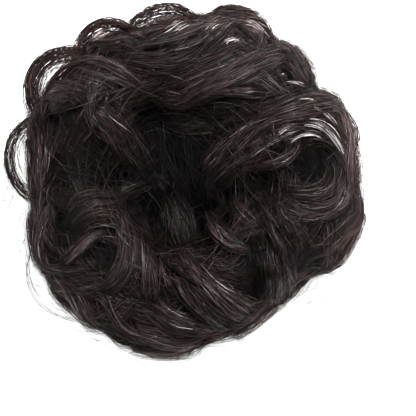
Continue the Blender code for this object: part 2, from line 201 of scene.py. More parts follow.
# The locks seen from above, in the order that they are laid: a node, and then its locks. A lock is its
# width as a share of REACH, how many locks lie under it, how light its hair is, and its way over the
# top as (east, north) in hundredths of REACH.
TOP_LOCKS = (
    # Upper left: the band under the arch, the dome, and the lock that falls from it into the middle
    (
        "curl_left",
        (0.14, 0.9, 0.4, (-88, 47), (-83, 38), (-79, 28), (-76, 17)),
        (0.15, 0.5, 1.5, (-84, 40), (-83, 23), (-81, 6), (-80, -10), (-82, -28)),
        (0.13, 0.9, 0.5, (-77, 38), (-76, 23), (-74, 7), (-73, -8)),
    ),
    (
        "curl_upper_left",
        (0.16, 0.9, 0.8, (-80, 45), (-68, 56), (-52, 63), (-36, 60), (-22, 52), (-14, 43)),
        (0.16, 0.5, 0.5, (-67, 53), (-57, 55), (-45, 53), (-35, 47), (-30, 38)),
        (0.18, 0.6, 0.4, (-77, 27), (-77, 38), (-70, 47), (-60, 50), (-50, 46), (-46, 37)),
        (0.15, 0.9, 0.35, (-69, 32), (-68, 41), (-61, 46), (-55, 42), (-54, 36)),
        (0.24, 1.3, 0.8, (-55, 42), (-45, 36), (-34, 24), (-25, 12), (-19, 2), (-16, -5)),
        (0.16, 0.9, 0.55, (-46, 49), (-36, 40), (-28, 29), (-23, 18)),
    ),
    (
        "curl_left",
        (0.16, 1, 0.12, (-76, 17), (-65, 7), (-51, 1), (-36, -4)),
        (0.11, 1.6, 2, (-80, 32), (-80, 14), (-79, -6)),
        (0.22, 0.6, 0.25, (-70, 29), (-58, 17), (-44, 6), (-28, 1)),
        (0.09, 1, 0.5, (-62, 24), (-50, 13), (-37, 3)),
        (0.14, 0.6, 0.1, (-73, 1), (-59, 7), (-44, 3), (-28, -6)),
        # Left: the brown lock that joins the middle
        (0.12, 1.6, 0.9, (-61, -13), (-46, -13), (-30, -7), (-18, -1), (-6, 3)),
    ),
    # Lower left: rings round an eye
    (
        "curl_lower_left",
        (0.15, 0.5, 0.5, (-85, -8), (-86, -23), (-83, -38), (-77, -52)),
        (0.17, 0.6, 0.5, (-77, -5), (-78, -19), (-74, -32), (-65, -45)),
        (0.2, 0.9, 0.45, (-67, -28), (-65, -14), (-50, -6), (-34, -12), (-24, -25), (-23, -42), (-28, -59),
         (-41, -68)),
        (0.18, 1.2, 0.5, (-62, -38), (-60, -24), (-49, -16), (-37, -20), (-30, -32), (-32, -48), (-40, -59),
         (-54, -61)),
        (0.09, 1.3, 0.5, (-67, -46), (-58, -38), (-50, -30), (-40, -26), (-35, -31)),
        (0.12, 1.3, 0.2, (-55, -45), (-52, -36), (-46, -32), (-39, -37), (-39, -46), (-45, -50)),
        (0.11, 1.2, 0.45, (-80, -39), (-70, -46), (-58, -48), (-46, -47)),
        (0.18, 0.8, 0.4, (-77, -54), (-62, -57), (-47, -57), (-34, -52)),
        (0.17, 0.7, 0.55, (-72, -62), (-58, -69), (-41, -72), (-26, -66), (-21, -57)),
        (0.16, 0.4, 0.5, (-68, -69), (-54, -79), (-37, -84), (-18, -83)),
    ),
    # Middle and bottom: the long S, the broad sweep and the bowl under them
    (
        "curl_bottom",
        (0.12, 1, 0.5, (-48, -50), (-41, -65), (-29, -77), (-13, -82), (1, -80)),
        (0.2, 0.8, 0.3, (-32, -13), (-20, -27), (-12, -45), (-7, -63)),
        (0.21, 1.2, 1.2, (-13, -3), (-4, -13), (-1, -28), (1, -42)),
        (0.17, 1, 0.5, (-21, -24), (-13, -38), (-9, -54), (-6, -69)),
        (0.24, 1.4, 0.8, (-9, -28), (0, -43), (13, -57), (31, -65), (46, -69)),
        (0.16, 1, 0.6, (-24, -63), (-13, -73), (4, -77), (21, -74)),
        (0.16, 0.8, 0.5, (-6, -45), (2, -60), (16, -71), (31, -77)),
        (0.17, 0.5, 0.5, (-36, -82), (-21, -88), (-3, -90), (16, -84), (31, -76)),
        (0.14, 0.4, 0.6, (-34, -87), (-18, -95), (-3, -95), (15, -90), (29, -84)),
        (0.14, 1, 0.6, (-1, -87), (11, -81), (24, -72), (34, -65)),
        (0.15, 1.7, 0.4, (-25, -26), (-20, -42), (-17, -58), (-20, -73)),
    ),
    # Lower right: two grey locks over a pocket that is painted dark as shade, and the pale one that stands
    # upright
    (
        "curl_lower_right",
        (0.2, 0.9, 0.45, (4, -41), (16, -49), (30, -53), (43, -55)),
        (0.15, 0.5, 0.6, (26, -87), (38, -81), (46, -73)),
        (0.17, 0.4, 0.05, (34, -28), (40, -42), (41, -57), (37, -64)),
        (0.13, 1.6, 1.5, (11, -14), (16, -24), (27, -34), (38, -39)),
        (0.14, 1.5, 1.4, (27, -4), (29, -15), (38, -25), (46, -31)),
        (0.13, 1.7, 0.8, (48, -30), (46, -45), (46, -59), (46, -72)),
    ),
    (
        "curl_right",
        (0.14, 1.2, 0.6, (51, -28), (54, -41), (54, -54), (55, -66)),
        (0.15, 1, 0.3, (43, 1), (48, -13), (54, -25), (57, -37)),
        (0.2, 0.7, 0.5, (57, -14), (62, -28), (64, -41), (62, -53)),
        (0.18, 0.8, 0.55, (76, -14), (78, -30), (74, -45), (64, -55)),
        # Right: rings round the second eye, inside the outer wall
        (0.16, 0.3, 0.6, (68, 53), (82, 45), (90, 28), (95, 6), (97, -14), (94, -35), (82, -50)),
        (0.18, 0.7, 0.65, (64, 46), (78, 38), (87, 23), (91, 3), (91, -17), (85, -36), (72, -50)),
        (0.18, 1, 0.55, (43, -5), (55, -15), (71, -17), (84, -9), (89, 5), (85, 19)),
        (0.12, 1.2, 0.7, (57, 16), (63, 23), (73, 26), (83, 20), (89, 8), (88, -5), (80, -14)),
        (0.14, 1.2, 0.4, (49, 2), (57, -6), (70, -8), (79, -2), (82, 9), (76, 18)),
        (0.1, 0.9, 0.02, (55, 9), (64, 4), (74, 6), (74, 13)),
        (0.13, 0.8, 0.1, (41, 27), (50, 23), (57, 16)),
        (0.24, 1, 0.35, (24, 3), (38, -5), (49, -18), (56, -35), (60, -49)),
        (0.13, 1.3, 0.7, (62, 29), (74, 31), (84, 25), (89, 14)),
        (0.09, 1.8, 1.3, (34, 4), (46, 9), (59, 13), (65, 19), (64, 27)),
        # Upper right: the broad sweep out of the middle and down the outer wall, and the bands over it
        (0.16, 1, 0.8, (29, 5), (38, 16), (49, 24), (62, 28), (74, 27)),
        (0.22, 1.3, 1.5, (4, -5), (17, 9), (33, 23), (50, 33), (64, 38)),
        (0.14, 1.4, 0.5, (25, 17), (43, 30), (63, 39), (80, 38), (91, 27), (96, 13)),
    ),
    (
        "curl_upper_right",
        (0.2, 0.9, 0.5, (8, 8), (21, 25), (39, 38), (59, 46), (74, 47)),
    ),
    (
        "curl_right",
        (0.14, 1.3, 1.2, (12, -8), (24, 3), (37, 12), (49, 18)),
    ),
    (
        "curl_upper_right",
        (0.14, 1, 0.7, (-8, 29), (7, 38), (23, 40), (40, 42)),
        (0.16, 0.5, 0.7, (-10, 23), (4, 35), (24, 41), (46, 46), (64, 49)),
        (0.12, 1.3, 0.9, (7, 46), (21, 48), (35, 49), (50, 46)),
        (0.2, 1, 0.6, (-13, 38), (4, 47), (23, 54), (45, 63), (64, 71)),
        (0.15, 0.5, 0.5, (51, 76), (62, 72), (71, 64), (73, 55)),
        (0.14, 1, 0.6, (55, 66), (64, 63), (68, 57), (64, 51)),
    ),
    # Top: the bands that come from the left, the curl at their end, and the rim above them
    (
        "curl_top",
        (0.18, 1.3, 0.55, (-44, 66), (-24, 66), (-4, 65), (12, 70), (29, 80), (41, 85)),
        (0.2, 0.8, 0.6, (-17, 46), (-9, 58), (11, 63), (29, 68), (45, 72)),
        (0.15, 1.4, 0.8, (-3, 66), (13, 75), (30, 82), (39, 76), (37, 66), (26, 60)),
        (0.17, 0.4, 0.6, (-29, 83), (-18, 92), (1, 92), (20, 92), (38, 91), (49, 80)),
        (0.17, 0.7, 0.4, (-28, 74), (-11, 81), (11, 81), (29, 86)),
        (0.15, 1, 0.6, (-33, 71), (-18, 75), (-1, 76), (15, 83), (27, 90)),
    ),
    (
        "curl_top_left",
        (0.12, 0.8, 0.8, (-55, 72), (-50, 82), (-38, 87), (-24, 83), (-16, 73)),
        (0.15, 0.5, 0.4, (-50, 69), (-43, 76), (-30, 75), (-20, 66)),
        (0.1, 1.1, 0.4, (-52, 66), (-50, 75), (-43, 81), (-35, 79)),
    ),
    # Middle: the hair at the edge of the hollow, locks deep in it given a dark tone as painted shade, and
    # the ends that lean in over it
    (
        "crown_locks",
        (0.16, 1, 0.6, (-24, 49), (-10, 45), (6, 44), (22, 49)),
        (0.18, 0.9, 0.9, (-22, 42), (-6, 37), (10, 38), (26, 45)),
        (0.18, 0.9, 1.2, (-16, 35), (-2, 30), (12, 31), (24, 38)),
        (0.26, 0, 0, (-20, 38), (-15, 20), (-8, 2), (2, -16), (6, -28)),
        (0.24, 0.2, 0, (-34, 24), (-24, 12), (-16, -2), (-12, -18), (-12, -30)),
        (0.24, 0.1, 0, (-4, 36), (0, 20), (4, 6), (6, -8), (14, -22)),
        (0.2, 0.3, 0.1, (24, 22), (16, 8), (10, -6), (14, -20)),
        (0.2, 0.3, 0, (-36, 2), (-24, 6), (-14, 16), (-6, 30)),
        (0.18, 0.7, 0.2, (-28, -2), (-16, 2), (-8, -4), (-6, -14)),
    ),
)

# The locks round the side and underneath, in rows: how many, where they start and end on the way
# round the roll (0 is out to the side, -90 below and 90 on top), and how far they slant round the ring.
SideRow = namedtuple("SideRow", "count low high slant width layer tone density")
SIDE_ROWS = (
    SideRow(22, -115, -5, 26, 0.21, 0, 0.4, 0.35),
    SideRow(16, -60, 74, -40, 0.17, 0.3, 0.5, 0.4),
    SideRow(20, 62, 148, 34, 0.19, 0, 0.2, 0.25),
)
ROLL_RADIUS = 0.63
ROLL_LEVEL = 0.44

# The rolls of hair that make the outline: where each begins and ends round the ring, and how far it
# swells past the bed as a share of REACH. Each has arcs of hair at every height of RIM_LEVELS.
Rim = namedtuple("Rim", "curl begins ends swell")
RIMS = (
    Rim("curl_right", -44, 2, 0.03),
    Rim("curl_right", -14, 37, 0.02),
    Rim("curl_upper_right", 33, 58, 0.03),
    Rim("curl_top", 54, 84, 0.035),
    Rim("curl_top", 80, 111, 0.02),
    Rim("curl_top_left", 109, 130, 0.04),
    Rim("curl_upper_left", 128, 155, -0.05),
    Rim("curl_left", 153, 187, -0.01),
    Rim("curl_lower_left", 185, 220, 0.015),
    Rim("curl_lower_left", 212, 249, 0.02),
    Rim("curl_bottom", 247, 282, 0.035),
    Rim("curl_lower_right", 280, 318, 0.015),
)
RIM_LEVELS = (0.1, 0.24, 0.38, 0.52, 0.66)
RIM_WIDTH = 0.15

# The arcs under the top locks: how many in a row, how far out, and how far they run round the ring
UnderRow = namedtuple("UnderRow", "count radius span width layer tone density")
UNDER_ROWS = (
    UnderRow(6, 0.45, 70, 0.19, 0, 0.1, 0.3),
    UnderRow(8, 0.59, 60, 0.2, 0, 0.2, 0.3),
    UnderRow(9, 0.73, 52, 0.2, 0, 0.3, 0.3),
    UnderRow(10, 0.85, 46, 0.19, 0, 0.3, 0.3),
)
# How far the locks seen from above rise straight up instead of out from the bed
TOP_LEAN = 1.6

# The pockets between the curls, where the hair is pressed down and painted dark as shade: middle and
# radius in hundredths of REACH, and depth from 0 to 1
Pocket = namedtuple("Pocket", "middle radius depth")
POCKETS = (
    Pocket((69, 9), 13, 0.92),
    Pocket((45, 1), 9, 0.75),
    Pocket((-42, -39), 8.5, 0.92),
    Pocket((37, -41), 9, 0.75),
    Pocket((38, -54), 8.5, 0.8),
    Pocket((63, -42), 9, 0.75),
    Pocket((24, -21), 5, 0.6),
    Pocket((41, -31), 5, 0.6),
    Pocket((-56, 8), 14, 0.6),
    Pocket((-71, 27), 8, 0.7),
    Pocket((-60, 25), 8, 0.5),
    Pocket((-18, 34), 9, 0.5),
    Pocket((10, 38), 8, 0.25),
    Pocket((26, 42), 8, 0.35),
    Pocket((10, 67), 6, 0.55),
    Pocket((-22, -14), 8, 0.6),
    Pocket((-14, -32), 8, 0.5),
    Pocket((-42, -79), 7, 0.4),
    Pocket((-58, -20), 8, 0.4),
    Pocket((-41, 78), 6, 0.5),
)
POCKET_PRESS = 0.75

# How far the hair reaches, in hundredths of REACH, at every OUTLINE_STEP degrees round the ring
OUTLINE_STEP = 10
OUTLINE = (
    97, 97, 97, 97, 94, 97, 97, 101, 97, 91, 89, 89, 93, 91, 88, 90, 91, 87,
    86, 87, 91, 93, 95, 95, 96, 97, 98, 97, 91, 92, 89, 89, 89, 98, 101, 101,
)

# Thin loops clear of the outline: where they leave and come back, reach and height as shares of
# REACH and HEIGHT, and how many strands they have.
Loop = namedtuple("Loop", "curl leaves meets reach up strands width")
LOOPS = (
    Loop("curl_left", 153, 188, 1, 0.36, 46, 0.03),
    Loop("curl_left", 154, 186, 0.962, 0.42, 34, 0.02),
    Loop("curl_left", 156, 183, 0.93, 0.46, 7, 0.03),
    Loop("curl_upper_left", 126, 158, 1.05, 0.42, 80, 0.05),
    Loop("curl_upper_left", 127, 157, 1.02, 0.5, 90, 0.06),
    Loop("curl_upper_left", 129, 156, 0.975, 0.56, 50, 0.04),
    Loop("curl_upper_left", 125, 158, 0.895, 0.68, 110, 0.08),
    Loop("curl_top_left", 107, 134, 1, 0.46, 170, 0.13),
    Loop("curl_top", 82, 114, 0.972, 0.5, 160, 0.14),
    Loop("curl_top", 57, 83, 1.01, 0.46, 50, 0.045),
    Loop("curl_right", 3, 32, 0.99, 0.5, 40, 0.04),
    Loop("curl_right", -20, 15, 1.08, 0.45, 5, 0.04),
    Loop("curl_right", -14, 10, 1.05, 0.55, 4, 0.03),
    Loop("curl_lower_left", 200, 240, 1.06, 0.3, 4, 0.05),
)

# Thin locks of shiny hair laid over all the others, their brighter strands painted silver as highlights
Glint = namedtuple("Glint", "curl width strands tone way")
GLINTS = (
    Glint("curl_right", 0.036, 34, 1.7, ((61, 31), (68, 33), (74, 32), (79, 29), (84, 22), (90, 10))),
    Glint("curl_right", 0.034, 30, 1.7, ((56, 19), (61, 24), (68, 26), (74, 25), (79, 21))),
    Glint("curl_right", 0.025, 12, 1.3, ((50, 24), (55, 28), (60, 30))),
    Glint("curl_right", 0.035, 24, 1.5, ((60, 41), (70, 41), (76, 38), (81, 34), (86, 26))),
    Glint("curl_right", 0.03, 12, 1.3, ((61, 44), (69, 45), (77, 41))),
    Glint("curl_upper_right", 0.025, 14, 1.5, ((54, 54), (61, 54), (68, 51))),
    Glint("curl_upper_right", 0.02, 8, 1.3, ((50, 57), (58, 59))),
    Glint("curl_top", 0.08, 32, 1.6, ((28, 88), (36, 88), (43, 84), (49, 77))),
    Glint("curl_top", 0.05, 14, 1.4, ((20, 73), (26, 77), (33, 76))),
    Glint("curl_top", 0.08, 16, 1.4, ((8, 79), (14, 84), (22, 88))),
    Glint("curl_top", 0.08, 26, 1.6, ((-12, 79), (-4, 84), (6, 88))),
    Glint("curl_top_left", 0.06, 20, 1.5, ((-52, 75), (-46, 80), (-38, 82))),
    Glint("curl_bottom", 0.025, 10, 1.3, ((-20, -86), (-14, -85), (-8, -84))),
    Glint("curl_bottom", 0.025, 10, 1.3, ((-7, -94), (1, -92), (8, -89))),
    Glint("curl_lower_right", 0.03, 12, 0.45, ((47, -29), (46, -43), (47, -57), (48, -69))),
    Glint("curl_left", 0.08, 40, 0.45, ((-79, 30), (-78, 17), (-79, 5), (-80, -10))),
)

# The grid of heights of the hair: how many cells it has each way, and how many REACH it spans
TOP_CELLS = 100
TOP_SPAN = 2.3


class Value:
    """A shader socket that can be used in sums."""

    def __init__(self, finish, socket):
        self.finish = finish
        self.socket = socket

    def maths(self, operation, first, second):
        return self.finish.node("ShaderNodeMath", {"operation": operation}, {0: first, 1: second})

    def __add__(self, other):
        return self.maths("ADD", self, other)

    def __sub__(self, other):
        return self.maths("SUBTRACT", self, other)

    def __mul__(self, other):
        return self.maths("MULTIPLY", self, other)

    def __radd__(self, other):
        return self.maths("ADD", other, self)

    def __rsub__(self, other):
        return self.maths("SUBTRACT", other, self)

    def __rmul__(self, other):
        return self.maths("MULTIPLY", other, self)


class Finish:
    """A material whose nodes are made one call at a time."""

    def __init__(self, name):
        self.material = bpy.data.materials.new(name)
        self.material.use_nodes = True
        self.tree = self.material.node_tree
        self.tree.nodes.clear()

    def node(self, kind, settings, inputs, output=0):
        made = self.tree.nodes.new(kind)
        for name, value in settings.items():
            setattr(made, name, value)
        for name, value in inputs.items():
            if isinstance(value, Value):
                self.tree.links.new(value.socket, made.inputs[name])
            else:
                made.inputs[name].default_value = value
        return Value(self, made.outputs[output])

    def mix(self, factor, first, second):
        settings = {"data_type": "RGBA", "clamp_factor": True}
        return self.node("ShaderNodeMix", settings, {0: factor, 6: first, 7: second}, output=2)

    def attribute(self, name):
        return self.node("ShaderNodeAttribute", {"attribute_name": name}, {}, output=2)

    def place(self):
        """The place on the piece, in metres."""
        return self.node("ShaderNodeTexCoord", {}, {}, output=3)

    def noise(self, place, scale, detail):
        return self.node("ShaderNodeTexNoise", {}, {"Vector": place, "Scale": scale, "Detail": detail})

    def bump(self, height, strength, depth):
        return self.node("ShaderNodeBump", {}, {"Height": height, "Strength": strength, "Distance": depth})

    def surface(self, shader_inputs):
        shader = self.node("ShaderNodeBsdfPrincipled", {}, shader_inputs)
        end = self.tree.nodes.new("ShaderNodeOutputMaterial")
        self.tree.links.new(shader.socket, end.inputs["Surface"])
        return self.material


def hair_finish():
    """Near-black hair, each strand with its own shade, which also carries painted shade. Hair near the
    outline is painted browner as backlight through thin hair, and strands with a shade over 0.9 are painted
    silver as highlights.
    """
    finish = Finish("dark_hair")
    along = 0.03 * finish.attribute("along")
    grain = finish.node("ShaderNodeCombineXYZ", {}, {0: finish.attribute("grain"), 1: along})
    streak = finish.noise(grain, 4.5, 2.0)
    hue = finish.noise(grain, 0.9, 1.0)
    shade, edge = finish.attribute("shade"), finish.attribute("edge")
    sharpen = {"operation": "MULTIPLY", "use_clamp": True}
    lines = finish.node("ShaderNodeMath", sharpen, {0: streak - 0.40, 1: 4.0})
    light = shade * (0.25 + 1.5 * lines)
    cast = finish.mix(5.0 * (hue - 0.42), BROWN, GREY)
    # Near the outline the hair is painted browner, as backlight shining through thin hair
    inner, outer = finish.mix(light, DEEP_BLACK, cast), finish.mix(light, DEEP_BLACK, BACKLIT_BROWN)
    settings = {
        # Strands with a shade over 0.9 are painted silver as highlights
        "Base Color": finish.mix(shade - 0.9, finish.mix(edge, inner, outer), PAINTED_HIGHLIGHT_SILVER),
        "Roughness": 0.62 - 0.15 * streak,
        "Specular IOR Level": 0.04,
        "Coat Weight": light * (0.8 - 0.6 * edge),
        "Coat Roughness": 0.33,
        "Normal": finish.bump(streak, 0.8, 0.0003),
    }
    return finish.surface(settings)


def bed_finish():
    """The hair deep in the piece, seen only between locks: painted almost black as the shade there, streaked
    from top to bottom.
    """
    finish = Finish("deep_hair_painted_shade")
    stretch = {0: finish.place(), 1: (900.0, 900.0, 60.0)}
    streak = finish.noise(finish.node("ShaderNodeVectorMath", {"operation": "MULTIPLY"}, stretch), 1.0, 3.0)
    colour = finish.mix(streak, DEEP_BLACK, WARM_BLACK)
    normal = finish.bump(streak, 0.6, 0.0006)
    settings = {"Base Color": colour, "Roughness": 0.8, "Specular IOR Level": 0.05, "Normal": normal}
    return finish.surface(settings)


def elastic_finish():
    """Black thread wound round elastic."""
    finish = Finish("covered_elastic")
    fuzz = finish.noise(finish.place(), 2500.0, 2.0)
    # The thread is darker in the grooves between the ribs and lighter on their crests
    colour = finish.mix(finish.attribute("rib"), DARK_THREAD, LIGHT_THREAD)
    normal = finish.bump(fuzz, 0.5, 0.0001)
    return finish.surface({"Base Color": colour, "Roughness": 0.9 - 0.2 * fuzz, "Normal": normal})


def new_piece(name, data, material, nodes):
    """A piece of the object: it rides on the one body and stands for CAD nodes."""
    obj = bpy.data.objects.new(name, data)
    bpy.context.scene.collection.objects.link(obj)
    obj.data.materials.append(material)
    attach(obj, "root")
    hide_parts(*nodes)


def in_metres(hundredths):
    """Sizes given in hundredths of REACH, in metres."""
    return np.array(hundredths) * REACH / 100


def from_middle(places):
    """How far places are from the middle, seen from above."""
    return np.hypot(places[..., 0], places[..., 1])


def round_middle(radius, bearing, *height):
    """Places at distances and bearings from the middle."""
    return np.stack([radius * np.cos(bearing), radius * np.sin(bearing), *height], axis=-1)


def outline_steps(places):
    """The bearings of places, in steps of OUTLINE_STEP."""
    return np.degrees(np.arctan2(places[..., 1], places[..., 0])) / OUTLINE_STEP


def read_round(values, places):
    """Values given at every OUTLINE_STEP round the ring, read at the bearings of places."""
    steps = outline_steps(places) % len(values)
    return np.interp(steps, np.arange(len(values) + 1), np.append(values, values[0]))


def outline_reach(places):
    """How far the hair reaches at the bearing of each place, as a share of REACH."""
    return read_round(OUTLINE, places) / 100


def pulled_in(places, inset):
    """The east and north of places, drawn to the middle where they are nearer the outline than an inset."""
    allowed = (outline_reach(places) - inset) * REACH
    return places[..., :2] * np.minimum(1, allowed / np.maximum(from_middle(places), TINY))[..., None]


def smooth_step(value):
    value = np.clip(value, 0, 1)
    return value * value * (3 - 2 * value)


def between(share, start, end, length):
    """1 between start and end, and smoothly down to 0 at both, over a length."""
    return smooth_step((share - start) / length) * smooth_step((end - share) / length)


def at_least(least, share):
    """A factor that is least where share is 0, and 1 where it is 1."""
    return least + (1 - least) * share


def tapered(share, power=0.5):
    """0 at both ends and 1 half way."""
    return np.sin(np.pi * np.clip(share, 0.0, 1.0)) ** power


Surface = namedtuple("Surface", "tree places normals corners")


def read_surface(data):
    """A mesh's search tree, its vertices, their smooth normals, and the corners of its faces."""
    places, normals = np.empty((2, len(data.vertices) * 3))
    data.vertices.foreach_get("co", places)
    data.vertex_normals.foreach_get("vector", normals)
    places, normals = places.reshape(-1, 3), normals.reshape(-1, 3)
    corners = [list(face.vertices) for face in data.polygons]
    return Surface(BVHTree.FromPolygons(places.tolist(), corners), places, normals, corners)


def make_bed(material):
    """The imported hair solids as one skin, smoothed and drawn in, for the strands to lie on."""
    mesh = bmesh.new()
    for node in HAIR_NODES:
        mesh.from_mesh(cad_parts[node].data)
    data = bpy.data.meshes.new("hair_bed")
    mesh.to_mesh(data)
    mesh.free()
    rough = bpy.data.objects.new("rough_bed", data)
    bpy.context.scene.collection.objects.link(rough)
    skin = rough.modifiers.new("skin", "REMESH")
    skin.mode = "VOXEL"
    skin.voxel_size = BED_VOXEL
    smooth = rough.modifiers.new("smooth", "SMOOTH")
    smooth.factor = 0.5
    smooth.iterations = BED_SMOOTHING
    bpy.context.view_layer.update()
    bed = bpy.data.meshes.new_from_object(rough.evaluated_get(bpy.context.evaluated_depsgraph_get()))
    bpy.data.objects.remove(rough)
    sink_bed(bed)
    bed.shade_smooth()
    new_piece("hair_bed", bed, material, ("crown_locks",))
    return read_surface(bed)


def sink_bed(bed):
    """Sink the bed under the locks, by less near the ring and where it is thin, and drop its thin loops."""
    tree, places, normals, _ = read_surface(bed)
    out = from_middle(places - np.array(RING_CENTRE))
    share = np.clip((out - RING_OUTER * 0.75) / (RING_OUTER * 0.5), LEAST_DEPTH, 1)
    room = np.empty(len(places))
    for k, (place, normal) in enumerate(zip(places, normals)):
        inward = Vector(-normal)
        thickness = tree.ray_cast(Vector(place) + inward * BED_VOXEL * 0.1, inward)[3]
        room[k] = DEEPEST_SHARE * (thickness or 0.0)
    places = places - normals * np.minimum(BED_DEPTH * share, room)[:, None]
    places[:, :2] = pulled_in(places, BED_INSET)
    bed.vertices.foreach_set("co", places.astype(np.float32).ravel())
    drop_vertices(bed, (room < THIN_ROOM) & (from_middle(places) > REACH * LOOPS_FROM))


def drop_vertices(data, dropped):
    """Take vertices off a mesh and close what is left."""
    mesh = bmesh.new()
    mesh.from_mesh(data)
    mesh.verts.ensure_lookup_table()
    bmesh.ops.delete(mesh, geom=[mesh.verts[k] for k in np.flatnonzero(dropped)], context="VERTS")
    bmesh.ops.holes_fill(mesh, edges=[edge for edge in mesh.edges if edge.is_boundary])
    bmesh.ops.triangulate(mesh, faces=[face for face in mesh.faces if len(face.verts) > 4])
    mesh.to_mesh(data)
    mesh.free()


def seat(surface, places):
    """The nearest points of the bed to places, and its normals there, blended from the face's corners."""
    found, normals = np.empty_like(places), np.empty_like(places)
    for k, place in enumerate(places):
        hit, _, face, _ = surface.tree.find_nearest(Vector(place))
        corners = surface.corners[face]
        away = np.linalg.norm(surface.places[corners] - np.array(hit), axis=1) + MICROMETRE
        blend = (surface.normals[corners] / away[:, None]).sum(0)
        found[k] = hit
        normals[k] = blend / np.linalg.norm(blend)
    return found, normals


def spline(points, count):
    """Evenly spaced places along a smooth curve through points."""
    points = np.asarray(points, float)
    ends = np.vstack([2 * points[0] - points[1], points, 2 * points[-1] - points[-2]])
    t = np.linspace(0, 1, 12, endpoint=False)[:, None]
    found = []
    for i in range(len(points) - 1):
        a, b, c, d = ends[i : i + 4]
        bend = (2 * a - 5 * b + 4 * c - d) * t**2 + (3 * b - a - 3 * c + d) * t**3
        found.append(0.5 * (2 * b + (c - a) * t + bend))
    return even(np.vstack([*found, points[-1:]]), count)


def even(places, count):
    """A number of evenly spaced places along a way."""
    steps = np.linalg.norm(np.diff(places, axis=0), axis=1)
    along = np.concatenate([[0], np.cumsum(steps)])
    want = np.linspace(0, along[-1], count)
    return np.stack([np.interp(want, along, places[:, k]) for k in range(places.shape[1])], axis=1)


def relaxed(places, passes):
    """Places smoothed along the first axis, with the ends kept."""
    for _ in range(passes):
        places = places.copy()
        places[1:-1] = (places[:-2] + 2 * places[1:-1] + places[2:]) / 4
    return places


def bends(places):
    """The turn in degrees at each inner place of a way, or of every one of several."""
    steps = np.diff(places, axis=-2)
    heading = steps / (np.linalg.norm(steps, axis=-1)[..., None] + TINY)
    return np.degrees(np.arccos(np.clip((heading[..., 1:, :] * heading[..., :-1, :]).sum(-1), -1, 1)))


def top_way(surface, way):
    """A lock's way over the top, dropped on the bed from above."""
    plan = spline(in_metres(way), WAY_POINTS)
    return relaxed(np.array([top_place(surface, east, north) for east, north in plan]), 5)


def top_place(surface, east, north):
    """The bed's place that is seen at a point of the picture, or its side where the point is past it."""
    hit = surface.tree.ray_cast(VIEWPOINT, Vector((east, north, VIEW_LEVEL)) - VIEWPOINT)[0]
    if hit is None or hit.z < HEIGHT * LOWEST_SEEN:
        hit = surface.tree.find_nearest(Vector((east, north, HEIGHT * SIDE_LEVEL)))[0]
    return hit


def side_way(surface, row, bearing, luck):
    """A lock's way round the roll of hair, from below to the top, slanting round the ring."""
    core = REACH * ROLL_RADIUS
    centre = Vector((RING_CENTRE.x * 0.5, RING_CENTRE.y * 0.5, HEIGHT * ROLL_LEVEL))
    places = []
    slant = row.slant * luck.uniform(0.6, 1.2)
    low = row.low + luck.uniform(-8, 8)
    high = row.high + luck.uniform(-14, 14)
    for share in np.linspace(0, 1, SIDE_POINTS):
        angle = math.radians(low + (high - low) * share)
        round_ring = math.radians(bearing + slant * (share - 0.5) + 4 * math.sin(6 * share))
        out = Vector((math.cos(round_ring), math.sin(round_ring), 0))
        start = out * core + centre
        away = out * math.cos(angle) + Vector((0, 0, math.sin(angle)))
        hit = surface.tree.ray_cast(start, away)[0]
        places.append(hit or surface.tree.find_nearest(start + away * 0.02)[0])
    return relaxed(np.array(places), 2)


def under_way(surface, row, starts, luck):
    """An arc of hair round the top of the ring, at a distance from the middle."""
    places = []
    phase = luck.uniform(0, 2 * math.pi)
    for share in np.linspace(0, 1, UNDER_POINTS):
        bearing = math.radians(starts + row.span * share)
        radius = REACH * (row.radius + 0.035 * math.sin(phase + 5 * share))
        places.append(top_place(surface, radius * math.cos(bearing), radius * math.sin(bearing)))
    return relaxed(np.array(places), 2)


def rim_way(surface, rim, up):
    """An arc of hair round one roll of the outline, at a height."""
    places = []
    for share in np.linspace(0, 1, RIM_POINTS):
        bearing = math.radians(rim.begins + (rim.ends - rim.begins) * share)
        level = up + 0.05 * math.sin(2 * math.pi * (share + up * 3))
        start = Vector((0, 0, HEIGHT * level))
        out = Vector((math.cos(bearing), math.sin(bearing), 0))
        hit = surface.tree.ray_cast(start + out * REACH * 2, -out)[0]
        if hit is None or hit.dot(out) < REACH * 0.6:
            hit = surface.tree.find_nearest(start + out * REACH * 0.85)[0]
        places.append(hit)
    return relaxed(np.array(places), 2)


# What a lock is apart from its way: density is its share of the usual strands, and swell is how far it
# stands out in its middle, as a share of REACH
Form = namedtuple("Form", "width layer tone density swell", defaults=(1.0, 0.0))
LockGrid = namedtuple("LockGrid", "share half length bed up")
# Where the strands of a lock may lie across it, as shares of its half width
ACROSS = np.linspace(-1.4, 1.4, 9)


def lock_grid(surface, way, width, lean):
    """A lock's seat on the bed: a grid of places along and across it, as fine as its bends need."""
    coarse = even(way, WAY_POINTS)
    length = np.linalg.norm(np.diff(coarse, axis=0), axis=1).sum()
    segments = int(np.clip(round(length / SEGMENT + bends(coarse).sum() / SEGMENT_TURN), *SEGMENT_LIMITS))
    centre = even(way, segments + 1)
    _, normals = seat(surface, centre)
    across = np.cross(np.gradient(centre, axis=0), normals)
    across /= np.linalg.norm(across, axis=1)[:, None] + TINY
    share = np.linspace(0, 1, segments + 1)
    half = width * REACH / 2 * (0.42 + 0.58 * tapered(share, 0.6))
    seats = centre[:, None, :] + across[:, None, :] * (half[:, None] * ACROSS)[..., None]
    bed, up = seat(surface, seats.reshape(-1, 3))
    up = up.reshape(seats.shape) + UP * lean
    up /= np.linalg.norm(up, axis=-1)[..., None]
    return LockGrid(share, half, length, relaxed(bed.reshape(seats.shape), 4), relaxed(up, 4))


